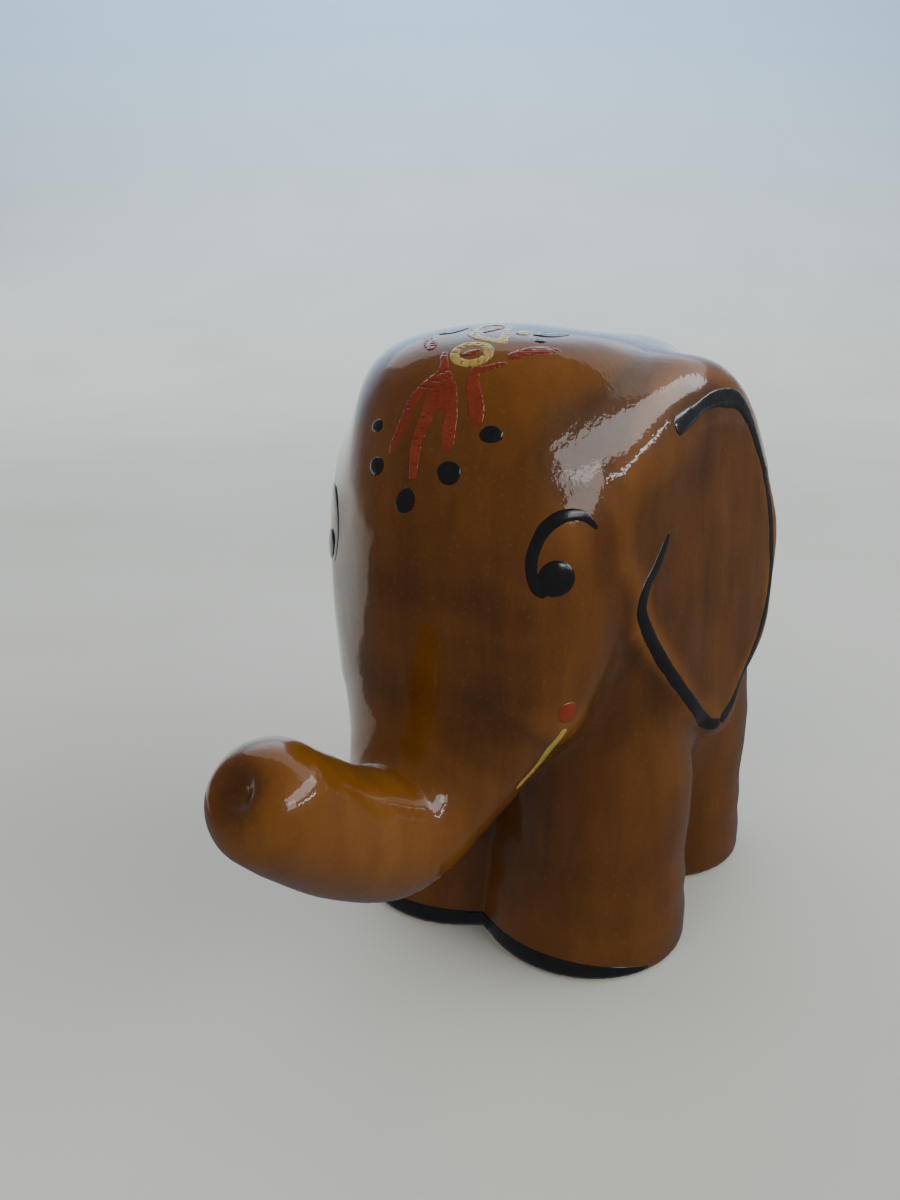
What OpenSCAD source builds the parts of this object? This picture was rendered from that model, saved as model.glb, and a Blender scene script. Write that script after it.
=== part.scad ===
// Glazed ceramic elephant money bank.
// A hollow slip-cast shell with a coin slot in the back and a rubber stopper in the base.
// The painted lines and dots are thin layers of fired enamel that lie on the shell.
// Millimetres. The elephant faces -Y, its left side is +X, and it stands on Z = 0.

/* [Shell] */
// Wall thickness of the fired clay
wall = 4.0; // [3:0.5:5]
// Thickness of the floor that holds the stopper
floor_thickness = 4.0; // [3:0.5:5]
// Depth of the round recess under the floor
recess_depth = 3.0; // [2.5:0.25:4]
// Diameter of the round recess under the floor
recess_diameter = 31.5; // [31:0.5:33]

/* [Coin slot] */
// Length of the slot, front to back
slot_length = 29.0; // [26:0.5:31]
// Width of the slot
slot_width = 4.6; // [4.2:0.1:5.5]
// Distance of the slot's middle behind the middle of the feet
slot_back = 8.0; // [6:0.5:10]

/* [Stopper] */
// Diameter of the hole in the floor
stopper_hole = 26.0; // [25:0.5:28]
// Gap all round between the stopper and its hole
stopper_gap = 0.05; // [0.03:0.01:0.1]
// Diameter of the stopper's flange
flange_diameter = 30.0; // [29:0.5:31]
// Thickness of the stopper's flange
flange_thickness = 1.8; // [1.4:0.1:2.2]

/* [Painted enamel] */
// Thickness of the enamel layer
enamel = 0.35; // [0.3:0.05:0.6]
// Width of the ear's painted outline
ear_stroke = 1.5; // [1:0.1:2]
// Width of the painted brow over the eye
brow_stroke = 1.3; // [1:0.1:1.8]
// Diameter of the painted pupil
pupil = 4.0; // [3.4:0.1:4.6]

/* [Hidden] */

// Grid of the skin: straight rings up to the shoulder height, then rings tilting up to the crown.
axis_y = -4;          // the vertical axis that the rings are measured from
shoulder = 50;        // height where the rings start to tilt
wall_rings = 24;
crown_rings = 17;
half_turn = 44;       // steps from the nose line to the tail line
rings = wall_rings + crown_rings;
reach = 62;

// ---- small helpers ----
function smin(a, b, k) = let(h = max(k - abs(a - b), 0) / k) min(a, b) - h * h * k / 4;
function smax(a, b, k) = -smin(-a, -b, k);

// Distance to a rounded box-like blob: n = 2 is an ellipsoid, a larger n is squarer.
function blob(p, c, r, n) =
    let(q = [for (i = [0:2]) abs(p[i] - c[i]) / r[i]],
        k = pow(pow(q[0], n) + pow(q[1], n) + pow(q[2], n) + 1e-9, 1 / n),
        g = [for (i = [0:2]) pow(q[i] / k, n - 1) / r[i]])
    (k - 1) / norm(g);

// Distance to a dome whose plan has squareness n and whose profile has squareness m.
function dome(p, c, r, n, m) =
    let(q = [for (i = [0:2]) abs(p[i] - c[i]) / r[i]],
        u = pow(pow(q[0], n) + pow(q[1], n) + 1e-9, 1 / n),
        k = pow(pow(u, m) + pow(q[2], m) + 1e-9, 1 / m),
        du = pow(u / k, m - 1),
        g = [du * pow(q[0] / u, n - 1) / r[0], du * pow(q[1] / u, n - 1) / r[1], pow(q[2] / k, m - 1) / r[2]])
    (k - 1) / norm(g);

// Distance to a limb between two balls.
function limb(p, a, b, ra, rb) =
    let(ab = b - a, t = min(1, max(0, ((p - a) * ab) / (ab * ab))))
    norm(p - a - t * ab) - (ra + (rb - ra) * t);
function limbs(p, pts, rad) =
    min([for (i = [0:len(pts) - 2]) limb(p, pts[i], pts[i + 1], rad[i], rad[i + 1])]);

// ---- the animal, as one half mirrored in x = 0 ----
function leg(s, y) = limbs(s, [[10, y, 37], [11, y, 22], [11, y, 14], [9.9, y, 3], [9.5, y, -5]],
                           [10.6, 11.8, 11.6, 13.2, 13.7]);

// The ear is a slab with a soft edge that stands a little off the flank at the back.
ear_at = [21, -1, 48];
ear_turn = 12;        // how far the ear's rear edge stands out from the flank
ear_lean = 4;         // how far its top leans in
ear_half = 2.7;       // half of its thickness
function ear(s) =
    let(q = s - ear_at,
        t = [q[0] * cos(ear_turn) - q[1] * sin(ear_turn), q[0] * sin(ear_turn) + q[1] * cos(ear_turn), q[2]],
        w = [t[0] * cos(ear_lean) + t[2] * sin(ear_lean), t[1], -t[0] * sin(ear_lean) + t[2] * cos(ear_lean)],
        e = [0, w[1] + ear_at[1], w[2] + ear_at[2]],
        middle = limb(e, [0, -10, 55.8], [0, -4, 31.3], 17.2, 5.1),
        front = limb(e, [0, -12, 47.2], [0, -9, 35.5], 11.8, 5.2),
        rear = limb(e, [0, -0.3, 49.7], [0, -0.9, 42.7], 11, 10.3))
    smax(smin(smin(middle, front, 3), rear, 5), abs(w[0]) - ear_half, 3);

function animal(p) =
    let(s = [abs(p[0]), p[1], p[2]],
        torso = blob(s, [0, 5.5, 36], [21.5, 23, 32.6], 2.1),
        head = dome(s, [0, -11, 56], [18.2, 23.7, 19.4], 2.3, 4.8),
        a = smin(torso, head, 8),
        b = smin(a, blob(s, [0, -19.3, 50], [14.9, 20.2, 24.2], 2.2), 6),
        cheek = limbs(s, [[8.5, -25.5, 50], [7.5, -27.5, 38], [4, -32, 31]], [8.6, 7.9, 6]),
        c = smin(b, cheek, 4),
        brow = limbs(s, [[12.3, -28.3, 57.5], [15, -24, 60.8], [16.6, -15, 64], [16.6, -6, 65.5]],
                     [1.7, 2.2, 2.4, 2.4]),
        d = smin(c, brow, 7),
        e = smin(smin(d, leg(s, -12.4), 4), leg(s, 12.6), 4),
        f = smin(e, blob(s, [0, 0, 6], [15.6, 20, 16], 3), 4),
        g = smin(f, ear(s), 2),
        tail = limbs(s, [[0, 26.6, 50], [0, 28.2, 40], [0, 28.6, 30], [0, 27.6, 23]], [2.6, 2.2, 1.9, 2.4]))
    smin(g, tail, 2);
function skin(p) = smax(animal(p), -p[2], 1);

// ---- points of the skin ----
function ring_height(k) = k == 0 ? 0 : k == 1 ? 0.5 : k == 2 ? 1.4 : k < wall_rings
    ? 1.4 + (k - 2) * (shoulder - 1.4) / (wall_rings - 2) : shoulder;
function ring_tilt(k) = k <= wall_rings ? 0 : (k - wall_rings) * 90 / crown_rings;
function ray_from(k) = [0, axis_y, ring_height(k)];
function ray_to(k, turn) = [cos(ring_tilt(k)) * cos(turn), cos(ring_tilt(k)) * sin(turn), sin(ring_tilt(k))];
// Walks in along a ray until it is `inset` below the surface.
function walk(o, u, r, inset, n) =
    let(d = inset > 0 ? animal(o + u * r) + inset : skin(o + u * r))
    (d < 0.004 || n == 0) ? r : walk(o, u, r - d, inset, n - 1);
function skin_point(k, turn, inset = 0) =
    let(o = ray_from(k), u = ray_to(k, turn)) o + u * walk(o, u, reach, inset, 60);
function raised(k, turn, p, up) = p + ray_to(k, turn) * up;
function mirrored(p) = [-p[0], p[1], p[2]];

// One closed ring, worked out on the left half and mirrored.
function full_ring(k, inset, steps) =
    let(h = [for (i = [0:steps]) skin_point(k, -90 + i * 180 / steps, inset)])
    concat(h, [for (i = [steps - 1:-1:1]) mirrored(h[i])]);

// A closed skin from ring `low` up to the crown. Its facets are the same on both sides.
module skin_solid(low, inset, steps, skip) {
    ks = [for (k = [low:skip:rings - 1]) k];
    n = 2 * steps;
    rows = [for (k = ks) full_ring(k, inset, steps)];
    m = len(rows);
    crown = skin_point(rings, 0, inset);
    pts = concat([for (r = rows) each r], [crown]);
    sides = [for (j = [0:m - 2]) for (i = [0:n - 1])
        let(i2 = (i + 1) % n, a = j * n + i, b = j * n + i2)
        each i < steps ? [[a, a + n, b + n], [a, b + n, b]] : [[a, a + n, b], [b, a + n, b + n]]];
    top = [for (i = [0:n - 1]) [(m - 1) * n + i, m * n, (m - 1) * n + (i + 1) % n]];
    polyhedron(points = pts, faces = concat([[for (i = [0:n - 1]) i]], sides, top), convexity = 8);
}

// ---- trunk: a tube that sweeps down and out, and lifts at its tip ----
trunk_path = [[-27, 43, 11.5], [-30, 35, 10.2], [-35, 27.8, 8.5], [-41.8, 25, 7.2],
              [-49.6, 28.6, 6.5], [-55.8, 33.4, 6.1], [-59, 36.2, 5.8]];
function spline(a, b, c, d, t) =
    0.5 * (2 * b + (c - a) * t + (2 * a - 5 * b + 4 * c - d) * t * t + (3 * b - a - 3 * c + d) * t * t * t);
function trunk_at(i, t) =
    let(n = len(trunk_path), g = function(j) j < 0 ? 2 * trunk_path[0] - trunk_path[1]
        : j > n - 1 ? 2 * trunk_path[n - 1] - trunk_path[n - 2] : trunk_path[j])
    spline(g(i - 1), g(i), g(i + 1), g(i + 2), t);

module trunk(inset = 0) {
    sides = 24;
    cuts = 3;
    mid = [for (i = [0:len(trunk_path) - 2]) for (c = [0:cuts - 1]) trunk_at(i, c / cuts)];
    tip = trunk_path[len(trunk_path) - 1];
    path = concat(mid, [tip]);
    n = len(path);
    along = [for (i = [0:n - 1]) let(a = path[max(0, i - 1)], b = path[min(n - 1, i + 1)],
        d = [b[0] - a[0], b[1] - a[1]]) d / norm(d)];
    body = [for (i = [0:n - 1]) [for (j = [0:sides - 1]) let(w = j * 360 / sides, r = path[i][2] - inset)
        [r * cos(w), path[i][0] - along[i][1] * r * sin(w), path[i][1] + along[i][0] * r * sin(w)]]];
    cap = [for (q = [18:18:72]) let(a = along[n - 1]) [for (j = [0:sides - 1])
        let(w = j * 360 / sides, r = (tip[2] - inset) * cos(q), f = (tip[2] - inset) * sin(q))
        [r * cos(w), tip[0] + a[0] * f - a[1] * r * sin(w), tip[1] + a[1] * f + a[0] * r * sin(w)]]];
    nose = [0, tip[0] + along[n - 1][0] * (tip[2] - inset), tip[1] + along[n - 1][1] * (tip[2] - inset)];
    rows = concat(body, cap);
    m = len(rows);
    faces = concat([[for (j = [sides - 1:-1:0]) j]],
        [for (i = [0:m - 2]) for (j = [0:sides - 1]) let(j2 = (j + 1) % sides)
            each [[i * sides + j, (i + 1) * sides + j2, (i + 1) * sides + j],
                  [i * sides + j, i * sides + j2, (i + 1) * sides + j2]]],
        [for (j = [0:sides - 1]) [(m - 1) * sides + j, (m - 1) * sides + (j + 1) % sides, m * sides]]);
    polyhedron(points = concat([for (r = rows) each r], [nose]), faces = faces, convexity = 6);
}

// ---- the shell ----
module solid_animal() {
    skin_solid(0, 0, half_turn, 1);
    trunk();
}

module chamber() {
    low = recess_depth + floor_thickness;
    intersection() {
        skin_solid(0, wall, half_turn / 2, 2);
        translate([-40, -60, low]) cube([80, 120, 90]);
    }
}

module slot_cutter() {
    half = (slot_length - slot_width) / 2;
    translate([0, slot_back, 52]) {
        for (y = [-half, half]) translate([0, y, 0]) cylinder(d = slot_width, h = 40, $fn = 32);
        translate([-slot_width / 2, -half, 0]) cube([slot_width, 2 * half, 40]);
    }
}

module body_shell() {
    color([0.45, 0.24, 0.09])
    difference() {
        resize([0, 0, 0]) difference() {
            solid_animal();
            chamber();
            slot_cutter();
        }
        translate([0, 0, -1]) cylinder(d = recess_diameter, h = recess_depth + 1, $fn = 96);
        translate([0, 0, -1]) cylinder(d = stopper_hole, h = recess_depth + floor_thickness + 3, $fn = 96);
    }
}

// ---- the stopper: a rubber plug with a flange that lies in the recess ----
module stopper() {
    plug = stopper_hole / 2 - stopper_gap;
    lip = recess_depth - flange_thickness;
    top = recess_depth + floor_thickness;
    color([0.16, 0.15, 0.14])
    rotate_extrude($fn = 96)
        polygon([[0, lip + 1.2], [6, lip + 1.2], [7, lip], [flange_diameter / 2 - 0.6, lip],
                 [flange_diameter / 2, lip + 0.6], [flange_diameter / 2, recess_depth], [plug, recess_depth],
                 [plug, top - 0.8], [plug - 1.2, top + 1.2], [plug - 3.5, top + 1.2],
                 [plug - 3.5, lip + 3.2], [0, lip + 3.2]]);
}

// ---- enamel ----
// A thin layer of the skin between two rings, and between two angles measured from the nose line.
// The shell's own facets are its underside.
module layer(k0, k1, from, to) {
    i0 = floor(from * half_turn / 180);
    i1 = ceil(to * half_turn / 180);
    n = i1 - i0 + 1;
    m = k1 - k0 + 1;
    low = [for (k = [k0:k1]) for (i = [i0:i1]) skin_point(k, -90 + i * 180 / half_turn)];
    high = [for (k = [k0:k1]) for (i = [i0:i1])
        raised(k, -90 + i * 180 / half_turn, low[(k - k0) * n + i - i0], enamel)];
    c = n * m;
    quads = [for (j = [0:m - 2]) for (i = [0:n - 2]) let(a = j * n + i)
        each [[a, a + n, a + n + 1], [a, a + n + 1, a + 1]]];
    under = [for (f = quads) [f[2], f[1], f[0]]];
    over = [for (f = quads) [f[0] + c, f[1] + c, f[2] + c]];
    rim = concat([for (i = [0:n - 2]) i], [for (j = [0:m - 2]) n - 1 + j * n],
                 [for (i = [n - 1:-1:1]) (m - 1) * n + i], [for (j = [m - 1:-1:1]) j * n]);
    wallset = [for (i = [0:len(rim) - 1]) let(a = rim[i], b = rim[(i + 1) % len(rim)])
        each [[a, a + c, b + c], [a, b + c, b]]];
    polyhedron(points = concat(low, high), faces = concat(over, under, wallset), convexity = 8);
}

// A brush stroke through points [across, up] with a width at each, seen along +Y.
module brush(pts, widths) {
    for (i = [0:len(pts) - 2]) hull() {
        translate(pts[i]) circle(d = widths[i], $fn = 12);
        translate(pts[i + 1]) circle(d = widths[i + 1], $fn = 12);
    }
}
module from_side(depth = 20) {
    translate([30, 0, 0]) rotate([90, 0, 90]) translate([0, 0, -depth]) linear_extrude(depth) children();
}
module from_front(depth = 30) {
    translate([0, -60, 0]) rotate([90, 0, 0]) translate([0, 0, -depth]) linear_extrude(depth) children();
}

// The ear's outline: a thick stroke over the top that thins down the rear edge, and a second stroke
// down the front edge that meets it at the ear's lower tip.
ear_top = [[-17.9, 65.9], [-13.3, 67.2], [-10.2, 68], [-7.1, 68.3], [-3, 67.8], [-0.4, 65.9]];
ear_rear = [[-0.4, 65.9], [1.8, 62.9], [4, 59.3], [5.8, 54.3], [6.5, 49.7],
            [6.6, 44.3], [4.6, 39.2], [1.3, 34.9], [-2.4, 31.2], [-5.7, 29.2]];
ear_front = [[-17.3, 54.8], [-19.7, 51.7], [-22, 49.4], [-22.3, 46.5],
             [-19.3, 41.8], [-14.9, 36.5], [-8.7, 30.4], [-5.7, 29.2]];
module ear_line() {
    resize([0, 0, 0]) intersection() {
        layer(11, 34, 38, 130);
        from_side() union() {
            brush(ear_top, [for (w = [1.6, 1.1, 1.2, 1.5, 1.5, 1.2]) w * ear_stroke]);
            brush(ear_rear, [for (w = [1.2, 1, 0.9, 0.8, 0.8, 0.8, 0.8, 0.8, 0.9, 1]) w * ear_stroke]);
            brush(ear_front, [for (w = [0.6, 1, 1.1, 1.2, 1.2, 1.1, 1.1, 0.9]) w * ear_stroke]);
        }
    }
}

// The eye: a round pupil under a curled brow, both drawn square to the face at the eye.
eye_at = [14.3, -33.2, 52.4];
eye_turn = 42;        // how far the eye looks out to the side
module at_eye(depth = 14) {
    translate(eye_at) rotate([0, 0, eye_turn]) rotate([90, 0, 0]) translate([0, 0, -depth / 2])
        linear_extrude(depth) children();
}
module eye() {
    resize([0, 0, 0]) intersection() {
        layer(22, 30, 12, 48);
        at_eye() union() {
            circle(d = pupil, $fn = 20);
            brush([[4.3, 4.6], [2.7, 6], [0.7, 6.1], [-1.2, 4.9], [-2.3, 2.7], [-2.5, 0.9], [-2, -0.9],
                   [-0.8, -1.6]],
                  [for (w = [0.5, 0.9, 1.1, 1.1, 1, 1, 1, 1]) w * brow_stroke]);
        }
    }
}

// Black bands along the front rims of the front feet.
module toe_band() {
    resize([0, 0, 0]) intersection() {
        layer(0, 3, 5, 80);
        translate([2.6, -40, 0.3]) cube([19.6, 26.5, 1.6]);
    }
}

// A red dot on the cheek, with the yellow mouth line running forward from it.
module cheek_dot() {
    resize([0, 0, 0]) intersection() {
        layer(16, 21, 16, 44);
        from_side() translate([-30.7, 37.6]) circle(d = 2.6, $fn = 20);
    }
}
module mouth_line() {
    resize([0, 0, 0]) difference() {
        intersection() {
            layer(11, 19, 8, 44);
            from_side() brush([[-30.4, 35.6], [-30.7, 32.6], [-31.1, 30.4], [-33, 28.4]], [0.7, 1, 1, 0.6]);
        }
        trunk();
    }
}

// The forehead, from the brow to the crown, as one layer that both halves share.
module forehead(k0, k1, side) {
    intersection() {
        union() {
            layer(k0, k1, 0, side);
            mirror([1, 0, 0]) layer(k0, k1, 0, side);
        }
        children();
    }
}
// Looking down on the front of the crown, square to its slope.
module on_crown(depth = 16) {
    translate([0, -27, 74]) rotate([50, 0, 0]) translate([0, 0, -depth / 2]) linear_extrude(depth) children();
}

// Five black dots: two pairs that close in above one on the nose line.
module forehead_dots() {
    color([0.05, 0.05, 0.05])
    resize([0, 0, 0]) forehead(25, 32, 28) from_front() union() {
        for (d = [[-5.3, 66.3, 1.9], [7.5, 66.1, 2.3], [-4.3, 62.5, 2.3], [4.3, 62.5, 2.6], [0.1, 59.6, 2.4]])
            translate([d[0], d[1]]) circle(d = d[2], $fn = 16);
    }
}

// A red hand of three fingers that runs down the forehead, a red petal beside it,
// and short red strokes round and inside the two rings.
module headdress_red() {
    color([0.62, 0.13, 0.06])
    resize([0, 0, 0]) forehead(25, 37, 38) on_crown() union() {
        brush([[0.4, -3.7], [1.2, -5.3], [1.6, -7], [1.6, -8.8]], [0.9, 1.0, 2.2, 2.6]);
        brush([[0.8, -6.5], [-0.5, -8.2], [-1.2, -9.5], [-1.8, -11.8], [-2.5, -13.9]],
              [1.0, 1.2, 1.2, 1.1, 0.8]);
        brush([[1.4, -8.1], [0.9, -10.7], [0.4, -13.2], [0.6, -16.2]], [1.8, 1.5, 1.3, 1.0]);
        brush([[2.6, -7.5], [3.4, -9.9], [3.6, -12], [3.7, -13.2]], [1.6, 1.4, 1.4, 1.0]);
        brush([[4.5, -5.2], [4.9, -7.1], [5.6, -8.7], [6, -10.2]], [0.8, 1.3, 1.6, 1.2]);
        brush([[4.5, -5.2], [5.3, -5], [6.9, -3.8]], [0.8, 0.8, 0.6]);
        brush([[7.2, -2.6], [8.8, -0.9], [10.2, 0]], [1.1, 1.4, 0.8]);
        brush([[-1.6, -2.7], [-2.3, -1.8], [-3.5, -0.5]], [1.0, 1.5, 1.1]);
        brush([[2.7, -3.5], [3.3, -3.1], [3.8, -2.7]], [0.7, 0.8, 0.6]);
        brush([[2.4, 1], [2.8, 1.9], [3.1, 2.5]], [0.7, 0.8, 0.6]);
    }
}

// Two yellow rings, a round one and a long one, and a yellow dot on the crown.
ring_round = [for (a = [0:30:330]) [3.25 + 1.75 * cos(a), -3.2 + 1.45 * sin(a)]];
ring_long = [[1.3, 0.2], [0.8, 2.4], [1.7, 3.9], [3.5, 3.2],
             [4.6, 0.8], [5.3, -0.7], [4.2, -0.7], [2.6, -0.5]];
module headdress_yellow() {
    color([0.75, 0.55, 0.2])
    resize([0, 0, 0]) forehead(28, 37, 32) on_crown() union() {
        for (r = [ring_round, ring_long])
            brush(concat(r, [r[0]]), [for (i = [0:len(r)]) 0.75]);
        translate([5.9, 2]) circle(d = 1.3, $fn = 14);
    }
}

// Dark leaf strokes on both sides of the rings.
module headdress_black() {
    color([0.07, 0.08, 0.12])
    resize([0, 0, 0]) forehead(28, 37, 38) on_crown() union() {
        brush([[-2.6, 0.6], [-1.4, 1], [-0.6, 1.9]], [0.9, 1.4, 0.8]);
        brush([[7.2, 2.3], [8.1, 3], [8.9, 4]], [1.1, 1.6, 1.0]);
        translate([8.2, 0.9]) circle(d = 0.9, $fn = 12);
    }
}

module left(c) color(c) children();
module right(c) color(c) mirror([1, 0, 0]) children();
black = [0.05, 0.05, 0.05];
red = [0.62, 0.13, 0.06];
yellow = [0.75, 0.55, 0.2];
module eye_left() left(black) eye();
module eye_right() right(black) eye();
module ear_line_left() left(black) ear_line();
module ear_line_right() right(black) ear_line();
module toe_band_left() left(black) toe_band();
module toe_band_right() right(black) toe_band();
module cheek_dot_left() left(red) cheek_dot();
module cheek_dot_right() right(red) cheek_dot();
module mouth_line_left() left(yellow) mouth_line();
module mouth_line_right() right(yellow) mouth_line();

// The middle of the overall length stands over the origin.
forward = 17.13;
translate([0, forward, 0]) {
    body_shell();
    stopper();
    eye_left();
    eye_right();
    ear_line_left();
    ear_line_right();
    toe_band_left();
    toe_band_right();
    cheek_dot_left();
    cheek_dot_right();
    mouth_line_left();
    mouth_line_right();
    forehead_dots();
    headdress_red();
    headdress_yellow();
    headdress_black();
}
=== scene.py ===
"""Looks of the glazed ceramic elephant money bank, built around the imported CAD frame.

Modelling is done in millimetres with the origin on the ground between the feet. The animal
faces -Y and its left side is +X. put() moves the finished points into the row frame, in metres.
"""
import math

import bpy
import numpy as np
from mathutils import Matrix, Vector


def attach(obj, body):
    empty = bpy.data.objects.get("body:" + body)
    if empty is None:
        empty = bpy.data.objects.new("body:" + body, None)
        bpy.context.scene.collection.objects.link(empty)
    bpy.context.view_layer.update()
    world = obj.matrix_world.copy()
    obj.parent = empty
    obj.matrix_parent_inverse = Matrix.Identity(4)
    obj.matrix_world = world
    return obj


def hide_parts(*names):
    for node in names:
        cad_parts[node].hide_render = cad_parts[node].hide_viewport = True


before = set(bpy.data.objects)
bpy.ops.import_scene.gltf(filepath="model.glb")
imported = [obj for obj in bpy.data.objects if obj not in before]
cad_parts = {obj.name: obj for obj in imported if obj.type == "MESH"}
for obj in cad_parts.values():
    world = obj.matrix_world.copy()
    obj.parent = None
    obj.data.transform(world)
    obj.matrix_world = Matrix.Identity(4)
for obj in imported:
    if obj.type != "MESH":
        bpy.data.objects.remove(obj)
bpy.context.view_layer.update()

FORWARD = 17.13          # the row's origin is this far in front of the middle of the feet, in mm
WALL, FLOOR, RECESS = 4.0, 4.0, 3.0
RECESS_R, HOLE_R = 15.75, 13.0
SLOT_LENGTH, SLOT_WIDTH, SLOT_BACK = 29.0, 4.6, 8.0
SLOT_FROM = 52           # the slot is cut from this height upwards
GLAZED = 3.3             # how far the glaze reaches into the slot
UPPER = 50               # the slot's rim is above this height, and the other rims are below it
# How much the slot's rim, the rims under the base and the edges of the feet are rounded.
SLOT_ROUND, BASE_ROUND, FOOT_ROUND = 1.8, 0.7, 1.0
SUNK, RIM_SUNK = 0.14, 0.03   # how deep the underside and the rim of the enamel lie in the glaze
STOPPER_GAP = 0.05       # between the stopper and its hole, all round


# ------------------------------------------------------------------ distance fields, in mm
def vec(*a):
    return np.array(a, float)


def smin(a, b, k):
    """The smaller of two distances, with the crease between them rounded over about k."""
    h = np.maximum(k - np.abs(a - b), 0) / k
    return np.minimum(a, b) - h * h * k / 4


def smax(a, b, k):
    """The larger of two distances, rounded the same way."""
    return -smin(-a, -b, k)


def blob(p, c, r, n):
    """Superellipsoid: n = 2 is an ellipsoid, and a larger n is squarer."""
    q = np.abs(p - c) / r
    k = ((q ** n).sum(1) + 1e-9) ** (1 / n)
    g = (q / k[:, None]) ** (n - 1) / r
    return (k - 1) / np.sqrt((g * g).sum(1) + 1e-12)


def dome(p, c, r, n, m):
    """Squareness n in plan and m in profile."""
    q = np.abs(p - c) / r
    u = (q[:, 0] ** n + q[:, 1] ** n + 1e-9) ** (1 / n)
    k = (u ** m + q[:, 2] ** m + 1e-9) ** (1 / m)
    du = (u / k) ** (m - 1)
    gx = du * (q[:, 0] / u) ** (n - 1) / r[0]
    gy = du * (q[:, 1] / u) ** (n - 1) / r[1]
    gz = (q[:, 2] / k) ** (m - 1) / r[2]
    return (k - 1) / np.sqrt(gx * gx + gy * gy + gz * gz + 1e-12)


def limbs(p, pts):
    """Chain of round cones through points (x, y, z, radius)."""
    pts = np.array(pts, float)
    d = None
    for a, b in zip(pts[:-1], pts[1:]):
        ab = b[:3] - a[:3]
        t = np.clip(((p - a[:3]) @ ab) / (ab @ ab), 0, 1)
        e = np.sqrt(((p - a[:3] - t[:, None] * ab) ** 2).sum(1)) - (a[3] + (b[3] - a[3]) * t)
        d = e if d is None else np.minimum(d, e)
    return d


def spline(points, n):
    """Catmull-Rom curve through the points, with n steps a span."""
    p = np.array(points, float)
    q = np.vstack([2 * p[0] - p[1], p, 2 * p[-1] - p[-2]])
    out = []
    for i in range(len(p) - 1):
        a, b, c, d = q[i:i + 4]
        for t in np.linspace(0, 1, n, endpoint=False):
            out.append(0.5 * (2 * b + (c - a) * t + (2 * a - 5 * b + 4 * c - d) * t * t
                              + (3 * b - a - 3 * c + d) * t ** 3))
    return np.array(out + [p[-1]])


EAR_AT = vec(21, -1, 48)
EAR_TURN, EAR_LEAN, EAR_HALF = 12, 4, 2.7


def ear_frame(s):
    """From animal coordinates to the ear's own: across the slab, along it, up it."""
    q = s - EAR_AT
    c, n = math.cos(math.radians(EAR_TURN)), math.sin(math.radians(EAR_TURN))
    t = np.stack([q[:, 0] * c - q[:, 1] * n, q[:, 0] * n + q[:, 1] * c, q[:, 2]], 1)
    c, n = math.cos(math.radians(EAR_LEAN)), math.sin(math.radians(EAR_LEAN))
    across = t[:, 0] * c + t[:, 2] * n
    up = t[:, 2] * c - t[:, 0] * n + EAR_AT[2]
    return np.stack([across, t[:, 1] + EAR_AT[1], up], 1)


def cone2(y, z, a, b):
    """2D round cone between (y, z, radius) a and b."""
    dy, dz = b[0] - a[0], b[1] - a[1]
    t = np.clip(((y - a[0]) * dy + (z - a[1]) * dz) / (dy * dy + dz * dz), 0, 1)
    return np.hypot(y - a[0] - t * dy, z - a[1] - t * dz) - (a[2] + (b[2] - a[2]) * t)


def ear_outline(y, z):
    """Distance to the ear's edge, in its own plane."""
    middle = cone2(y, z, (-10, 55.8, 17.2), (-4, 31.3, 5.1))
    front = cone2(y, z, (-12, 47.2, 11.8), (-9, 35.5, 5.2))
    rear = cone2(y, z, (-0.3, 49.7, 11), (-0.9, 42.7, 10.3))
    return smin(smin(middle, front, 3), rear, 5)


TRUNK = spline([(0, -27, 43, 11.5), (0, -30, 35, 10.2), (0, -35, 27.8, 8.5), (0, -41.8, 25, 7.2),
                (0, -49.6, 28.6, 6.5), (0, -55.8, 33.4, 6.1), (0, -59, 36.2, 5.8)], 6)
BROW = spline([(12.3, -28.3, 57.5, 1.7), (15, -24, 60.8, 2.2), (16.6, -15, 64, 2.4),
               (16.6, -6, 65.5, 2.4)], 3)
TAIL = spline([(0, 26.6, 50, 2.6), (0, 28.2, 40, 2.2), (0, 28.6, 30, 1.9), (0, 27.6, 23, 2.4)], 3)
CHEEK = [(8.5, -25.5, 50, 8.6), (7.5, -27.5, 38, 7.9), (4, -32, 31, 6)]
FOOT_Y = (-12.4, 12.6)
NOSTRIL = vec(-0.3, -64.7, 40.3)


def leg(y, thinner=0):
    """The left leg whose foot is at y, drawn in by thinner."""
    return spline([(10, y, 37, 10.6 - thinner), (11, y, 22, 11.8 - thinner), (11, y, 14, 11.6 - thinner),
                   (9.9, y, 3, 13.2 - thinner), (9.5, y, -5, 13.7 - thinner)], 2)


def torso_and_head(s, thinner=0):
    """The two big forms, drawn in by thinner all round."""
    torso = blob(s, vec(0, 5.5, 36), vec(21.5, 23, 32.6) - thinner, 2.1)
    head = dome(s, vec(0, -11, 56), vec(18.2, 23.7, 19.4) - thinner, 2.3, 4.8)
    return smin(torso, head, 8)


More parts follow.
